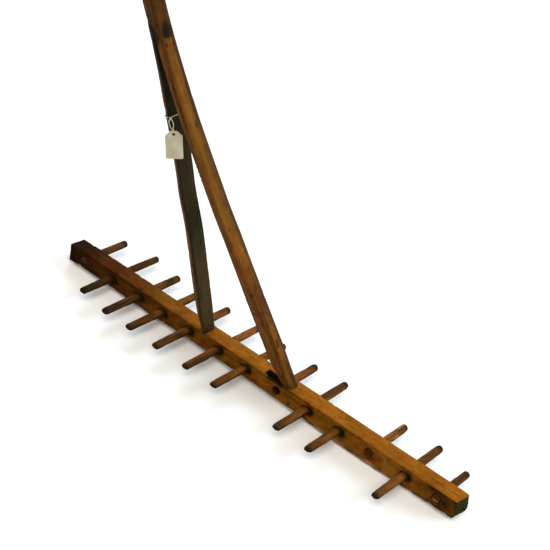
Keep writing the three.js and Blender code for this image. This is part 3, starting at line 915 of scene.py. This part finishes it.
def paint_tooth(mesh, points, number, whole, tip, end_face):
    random = np.random.default_rng(500 + number)
    y = points[:, 1]
    shade = noise(points + 13 * number, (9, 26, 9), number)
    left = smooth(-points[:, 0], 100, 330)
    lower = smooth(HEAD_MIDDLE[2] - points[:, 2], -4, 4)
    tint = np.tile(TOOTH_BROWN, (len(points), 1))
    tint = mix(tint, TOOTH_RED, smooth(noise(points, (7, 30, 7), 21), 0.1, 0.6) * 0.7)
    tint = mix(tint, TOOTH_DARK, smooth(shade, -0.1, 0.7) * 0.75)
    tint = mix(tint, TOOTH_DARK * 0.8, 0.93 * left * (y < 0) + 0.62 * left * (y > 0))
    # The lower half of each tooth is painted darker, the front teeth most: painted shade on the
    # undersides.
    tint = mix(tint, TOOTH_DARK * 0.6, 0.9 * lower * (y < 0) + 0.5 * lower * (y > 0))
    tint = mix(tint, TOOTH_DARK, 0.5 * smooth(-y, 35, 75))
    tint = mix(tint, TOOTH_DARK, 0.7 * smooth(points[:, 0], 220, 340) * (y > 0))
    fleck = 0.5 * noise(points, (3.2, 9, 3.2), 24) + 0.4 * noise(points, (1.8, 3.5, 1.8), 25)
    tint = tint * (1 + 0.5 * fleck)[:, None]
    tint = tint * random.uniform(0.9, 1.15) * np.where(y > 0, 1.2, 1.1)[:, None]
    tint = mix(tint, TOOTH_GREY * 0.7, tip * 0.8 * smooth(noise(points, (5, 5, 5), 6), -0.5, 0.5))
    # The sawn end faces are painted dark grey: greyed end grain, and painted shade, as they face
    # downwards.
    tint = mix(tint, TOOTH_GREY * 0.45, 0.85 * end_face)
    tint = mix(tint, TOOTH_GREY * 0.4, 0.85 * smooth(y, y.max() - 13, y.max() - 3) * whole)
    tint = mix(tint, SOOT, 0.6 * tip * (0.2 + 0.8 * left) * (y < 0))
    if number == BACK_STUB:
        tint = mix(tint, TOOTH_STAIN, 0.8 * (y > HEAD_HALF[1]))
    # Each tooth is painted darker where it goes into the head: painted shade at the join.
    near_head = smooth(np.abs(y), HEAD_HALF[1] + 7, HEAD_HALF[1] - 1)
    tint = mix(tint, TOOTH_DARK * 0.5, near_head * 0.7)
    if number == STREAKED:
        streak = smooth(noise(points, (2.2, 18, 2.2), 12), 0.15, 0.4) * (y > HEAD_HALF[1])
        tint = mix(tint, TOOTH_PALE * 1.3, streak * 0.9)
    broken_front = (~whole) & (y < -HEAD_HALF[1] + 12)
    below = points[:, 2] < HEAD_MIDDLE[2] - 2.5 + noise(points, (4, 9, 4), 3)
    # A stub's colour, where it shows and the colour round it, by tooth.
    stub_colours = {
        0: (TOOTH_PLUM * 0.4, True, OLIVE * 0.6),
        # Tooth 7's stub sits back in its bore and is painted dark: painted shade in the hole.
        7: (UMBER * 0.7, True, OLIVE * 0.6),
        10: (FRONT_RED * 0.5, True, OLIVE * 0.6),
        12: (TOOTH_PALE, below, FRONT_BROWN * 0.4),
    }
    if number in stub_colours:
        colour, where, around = stub_colours[number]
        tint = mix(tint, around, 0.9 * broken_front)
        tint = mix(tint, colour, 0.9 * (broken_front & where))
    set_wood(mesh, tint, 0.3 + 0.5 * shade, points[:, [1, 0, 2]] + [37 * number, 0, 0])


# -------------------------------------------------------------------- handle

HANDLE_BROWN = srgb(86, 52, 12)
HANDLE_LIGHT = srgb(106, 66, 17)
HANDLE_YELLOW = srgb(112, 76, 24)
HANDLE_DARK = srgb(54, 30, 5)
HANDLE_RED = srgb(94, 50, 14)
SAWN_GREY = srgb(63, 50, 22)
SAWN_DARK = srgb(38, 30, 8)
HANDLE_KNOCKS = 60
HANDLE_FLATS = 11  # left by the spokeshave, round the pole

# How far round from the left the dark stain and painted shade at the start of the split reach,
# from -1 to 1, by place along the handle.
SPLIT_STAIN_AND_SHADE = [
    (500, -1.2), (560, -0.85), (610, -0.6), (640, -0.6), (660, -0.45), (674, -0.05),
    (690, -0.35), (714, -1.15),
]


def make_handle():
    mesh = remeshed("handle_wood", "split_handle", HANDLE_VOXEL, HANDLE_AXES, (1, 1, 3))
    points, normals = points_of(mesh), normals_of(mesh)
    local = (points - FOOT) @ HANDLE_AXES.T
    facing = normals @ HANDLE_AXES.T
    along = local[:, 2]
    side = np.sign(local[:, 0])
    right = side > 0
    split = along < SPLIT_LENGTH
    face = arm_offset(along)
    above = points[:, 2] > HEAD_TOP + 0.2
    out = side * local[:, 0] - face  # from the sawn face outwards
    sawn = smooth(-side * facing[:, 0], 0.6, 0.9) * split * (out < 3)
    # Both feet are whittled down to their tenons, the right one more.
    near = smooth(along, 75, 4) * split * above
    cut = np.where(right, 6.5, -1.5) * near - 0.4
    cut += 1.3 * bump_at(along, 400, 60) * right
    wider = np.where(right, -2.8, -2.0) * smooth(along, 100, 5) + 0.3
    trim = np.where(right, from_table(along, RIGHT_TRIM), from_table(along, LEFT_TRIM))
    wider = wider - trim
    u = out + (cut * (1 - out / ARM_RADIUS) + wider * out / ARM_RADIUS) * above
    v = local[:, 1] * (1.03 - 0.22 * near)
    local[:, 0] = np.where(split & above, side * (face + u), local[:, 0])
    local[:, 1] = np.where(above, v, local[:, 1])
    # The pole is a shade thicker past the split, and bows a little further up.
    local[:, 0] *= 1 + 0.07 * smooth(along, 685, 705)
    bow = noise(np.outer(along, (0, 0, 1)), 400, 2)
    local[:, 0] += 3.0 * bow * smooth(along, 800, 1100)
    centre_x = np.where(split, side * face, 0)
    place = np.stack([local[:, 0] - centre_x + 50 * side, local[:, 1], along], axis=1)
    place[:, 0] += np.where(split, 0, 50 - 50 * side)
    # Spokeshave flats, ripples, raised grain and the saw's marks.
    angle = np.arctan2(local[:, 1], local[:, 0] - centre_x)
    sector = 2 * math.pi / HANDLE_FLATS
    turned = np.mod(angle, sector) - sector / 2
    flat = 12.5 * (math.cos(sector / 2) / np.cos(turned) - 1) + 0.25
    strength = 0.5 + 0.5 * noise(local, (200, 200, 120), 3)
    lift = (flat * strength * 0.5 + 0.25) * (1 - sawn)
    lift += 0.40 * noise(place, (26, 26, 130), 4) + 0.14 * noise(place, (5, 5, 40), 5)
    lift += 0.10 * noise(place, (1.6, 1.6, 46), 6) * (1 - sawn)
    lift += sawn * (0.22 * noise(place, (60, 14, 2.6), 7) + 0.12 * noise(place, (60, 2.2, 30), 8))
    lift += near * 1.2 * noise(place, (7, 9, 18), 9)
    local = local + facing * (lift * above)[:, None]
    random = np.random.default_rng(23)
    count = HANDLE_KNOCKS
    place_along = random.uniform(20, 900, count)
    turn = random.uniform(0, 2 * math.pi, count)
    sides = random.choice([-1, 1], count)
    offsets = np.where(place_along < SPLIT_LENGTH, arm_offset(place_along), 0)
    at = np.stack(
        [sides * offsets + 12 * np.cos(turn), 12 * np.sin(turn), place_along], axis=1
    )
    local = dents(local, facing, at, random.uniform(2, 6, count), random.uniform(0.2, 0.9, count))
    # The handle wanders, and the left arm is bowed out at its middle.
    local[:, 0] += from_table(along, SWAY) - 2.0 * bump_at(along, 350, 45) * ~right
    set_points(mesh, local @ HANDLE_AXES + FOOT)
    paint_handle(mesh, local, place, facing, sawn, side, split, near)
    material = wood("handle_wood", streak=0.5, fibre=0.35, rough=0.55, specular=0.04)
    return finished("handle", mesh, "split_handle", material)


def paint_handle(mesh, local, place, facing, sawn, side, split, near):
    along = local[:, 2]
    streaks = noise(place, (3.0, 3.0, 90), 10)
    tint = np.tile(HANDLE_BROWN, (len(local), 1))
    tint = mix(tint, HANDLE_LIGHT, smooth(streaks, 0.0, 0.7) * 0.8)
    tint = mix(tint, HANDLE_DARK, smooth(-streaks, 0.05, 0.7) * 0.85)
    # From -1 at the left of the side in view, to 1 at its right.
    turned = 0.83 * facing[:, 0] + 0.55 * facing[:, 1]
    # A painted highlight runs up the right of the right arm, and painted shade up its left.
    lit = smooth(turned, -0.3, 0.5) * (side > 0) * smooth(along, 10, 130)
    lit *= 0.75 + 0.45 * noise(place, (9, 9, 34), 20)
    tint = mix(tint, np.minimum(tint * 1.5, 0.5), lit * smooth(along, 760, 640))
    tint = mix(tint, tint * 0.78, smooth(-turned, 0.1, 0.7) * (side > 0))
    mottle = smooth(noise(place, (8, 8, 26), 21), 0.05, 0.6)
    tint = mix(tint, HANDLE_RED, 0.65 * mottle * (side > 0))
    fleck = 0.6 * noise(place, (4, 4, 9), 22) + 0.4 * noise(place, (2.2, 2.2, 4.5), 23)
    tint = tint * (1 + 0.38 * fleck)[:, None]
    # A yellow streak up the right arm is a painted highlight.
    highlight_ridge = bump_at(turned, 0.5, 0.25) * (facing[:, 1] < 0.2) * (side > 0)
    highlight_ridge *= smooth(noise(place, (30, 30, 60), 15), -0.6, 0.3) * smooth(along, 30, 160)
    tint = mix(tint, HANDLE_YELLOW, 0.7 * highlight_ridge * smooth(along, 760, 640))
    # A painted shade line runs down the right edge of the right arm.
    edge_shade_line = smooth(turned, 0.86, 0.97) * (side > 0) * smooth(along, 730, 660)
    tint = mix(tint, HANDLE_DARK * 0.6, 0.7 * edge_shade_line)
    knots = smooth(noise(place, (5, 5, 13), 11), 0.58, 0.8)
    tint = mix(tint, HANDLE_DARK * 0.35, knots * 0.8)
    left_arm = split & (side < 0)
    # The left arm is painted darker, more so further up and again near the split: painted shade on
    # its side away from the light.
    tint = mix(tint, HANDLE_DARK, np.interp(along, [150, 420], [0.2, 0.6]) * left_arm)
    tint = mix(tint, tint * 0.62, smooth(along, 640, 700) * smooth(along, 1000, 760))
    tint = mix(tint, HANDLE_DARK * 0.6, 0.6 * smooth(along, 550, 620) * left_arm)
    # A dark stain and painted shade on the left where the split starts, and a dark stain round the
    # rivet.
    stain = from_table(along, SPLIT_STAIN_AND_SHADE)
    start = smooth(stain - turned, -0.2, 0.12) * smooth(along, 725, 700)
    start *= np.where(side > 0, smooth(along, 490, 540), smooth(along, 630, 655))
    tint = mix(tint, HANDLE_DARK * 0.25, 0.92 * start)
    rust = np.exp(-((np.hypot((along - 685) / 15, (turned - 0.68) / 0.27) ** 4)))
    tint = mix(tint, SOOT * 0.5, 0.93 * rust)
    patches = noise(place, (60, 20, 70), 12) + 0.5 * noise(place, (9, 9, 30), 13)
    grey = mix(np.tile(SAWN_GREY, (len(local), 1)), SAWN_DARK, smooth(patches, -0.5, 0.6))
    upper = np.interp(along, [320, 370, 430, 540], [0.8, 1.3, 1.2, 0.8])
    grey = mix(grey, np.outer(upper, SAWN_DARK), smooth(along, 150, 320))
    grey = mix(grey, HANDLE_DARK * 0.7, 0.8 * (side > 0))
    tint = mix(tint, grey, sawn)
    arris = sawn * (side < 0) * smooth(-local[:, 1], 8, 12)
    tint = mix(tint, SOOT, 0.8 * arris)
    # The left arm's foot is painted near black where it goes into the head: painted shadow at its
    # mortise.
    tint = mix(tint, SOOT, bump_at(along, 4, 12) * left_arm * smooth(local[:, 1], 4, -6) * 0.8)
    foot = near * (side > 0)
    tint = mix(tint, TOOTH_PLUM, 0.45 * foot * smooth(noise(place, (9, 9, 20), 18), -0.2, 0.5))
    pale = foot * smooth(-turned, 0.1, 0.4) * smooth(-turned, 0.9, 0.6) * smooth(along, 12, 30)
    tint = mix(tint, HANDLE_YELLOW * 1.2, 0.8 * pale)
    # The right foot is painted near black low on its left, and the tenons below the head's top
    # likewise: painted shadow at the join and in the mortise.
    tint = mix(tint, SOOT, 0.75 * foot * smooth(along, 30, 0) * smooth(turned, 0.9, 0.2))
    tint = mix(tint, SOOT, (along < -3) * 0.7)
    grain = place[:, [2, 0, 1]] + [500, 0, 0]
    set_wood(mesh, tint, 0.2 + 0.5 * sawn + 0.4 * near, grain)


# ------------------------------------------------------------------ ironwork


def make_iron(node, material):
    mesh = remeshed(f"{node}_iron", node, IRON_VOXEL)
    points, normals = points_of(mesh), normals_of(mesh)
    points = points + normals * (0.12 * noise(points, (1.6, 1.6, 1.6), 2))[:, None]
    local = (points - FOOT) @ HANDLE_AXES.T
    if "washer" in node:
        # Hammered down round the pole.
        local[:, 0] -= np.sign(local[:, 0]) * local[:, 1] ** 2 / (2 * POLE_RADIUS)
    local[:, 0] += from_table(local[:, 2], SWAY)
    set_points(mesh, local @ HANDLE_AXES + FOOT)
    return finished(f"{node}_forged", mesh, node, material)


make_head()
tooth_material = wood("tooth_wood", streak=0.5, fibre=0.4, rough=0.55, specular=0.03)
for number, node in enumerate(TOOTH_NODES):
    make_tooth(number, node, tooth_material)
make_handle()
iron = rusty_iron()
for node in sorted(frame["nodes"]):
    if "rivet" in node or "nail" in node:
        make_iron(node, iron)

# ---------------------------------------------------------- floor and lights

FLOOR_REACH = 14.0
FLOOR_WHITE = (0.88, 0.88, 0.88, 1)


def make_floor():
    mesh = bpy.data.meshes.new("floor")
    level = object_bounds()[0][2]
    corners = [(-1, -1), (1, -1), (1, 1), (-1, 1)]
    points = [(x * FLOOR_REACH, y * FLOOR_REACH, level) for x, y in corners]
    mesh.from_pydata(points, [], [(0, 1, 2, 3)])
    floor = link("floor", mesh)
    material = bpy.data.materials.new("floor")
    material.use_nodes = True
    shader = material.node_tree.nodes["Principled BSDF"]
    shader.inputs["Base Color"].default_value = FLOOR_WHITE
    shader.inputs["Roughness"].default_value = 1.0
    shader.inputs["Specular IOR Level"].default_value = 0.0
    mesh.materials.append(material)


def make_sun(name, towards, width, strength, colour):
    """A broad, soft light. width is the angle it fills, in degrees."""
    data = bpy.data.lights.new(name, "SUN")
    data.angle = math.radians(width)
    data.energy = strength
    data.color = colour
    sun = link(name, data)
    sun.rotation_mode = "QUATERNION"
    sun.rotation_quaternion = Vector(towards).to_track_quat("-Z", "Y")


WARM = (1.0, 0.94, 0.84)
COOL = (0.68, 0.84, 1.0)
SKY = np.array(WARM) * 0.36
BACKDROP = (1.02, 1.02, 1.02)
BACKDROP_TOP, SKY_FROM = 0.26, 0.45  # sines of the elevations


def make_world():
    """A pale backdrop stands round the horizon, under a darker ceiling."""
    world = bpy.data.worlds.new("studio")
    world.use_nodes = True
    tree = world.node_tree
    direction = tree.nodes.new("ShaderNodeTexCoord").outputs["Generated"]
    split = tree.nodes.new("ShaderNodeSeparateXYZ")
    tree.links.new(direction, split.inputs["Vector"])
    ramp = tree.nodes.new("ShaderNodeValToRGB")
    backdrop, sky = ramp.color_ramp.elements
    backdrop.position, backdrop.color = BACKDROP_TOP, (*BACKDROP, 1)
    sky.position, sky.color = SKY_FROM, (*SKY, 1)
    tree.links.new(split.outputs["Z"], ramp.inputs["Fac"])
    background = tree.nodes["Background"]
    tree.links.new(ramp.outputs["Color"], background.inputs["Color"])
    background.inputs["Strength"].default_value = 1.0
    bpy.context.scene.world = world


make_floor()
make_world()
make_sun("window_right", (-1.25, -1.0, -0.75), 30, 1.9, COOL)
make_sun("window_left", (0.8, -1.0, -0.6), 30, 1.5, COOL)
make_sun("ceiling", (-0.35, 0.5, -1.0), 60, 2.25, WARM)
bpy.context.scene.view_settings.view_transform = "Standard"
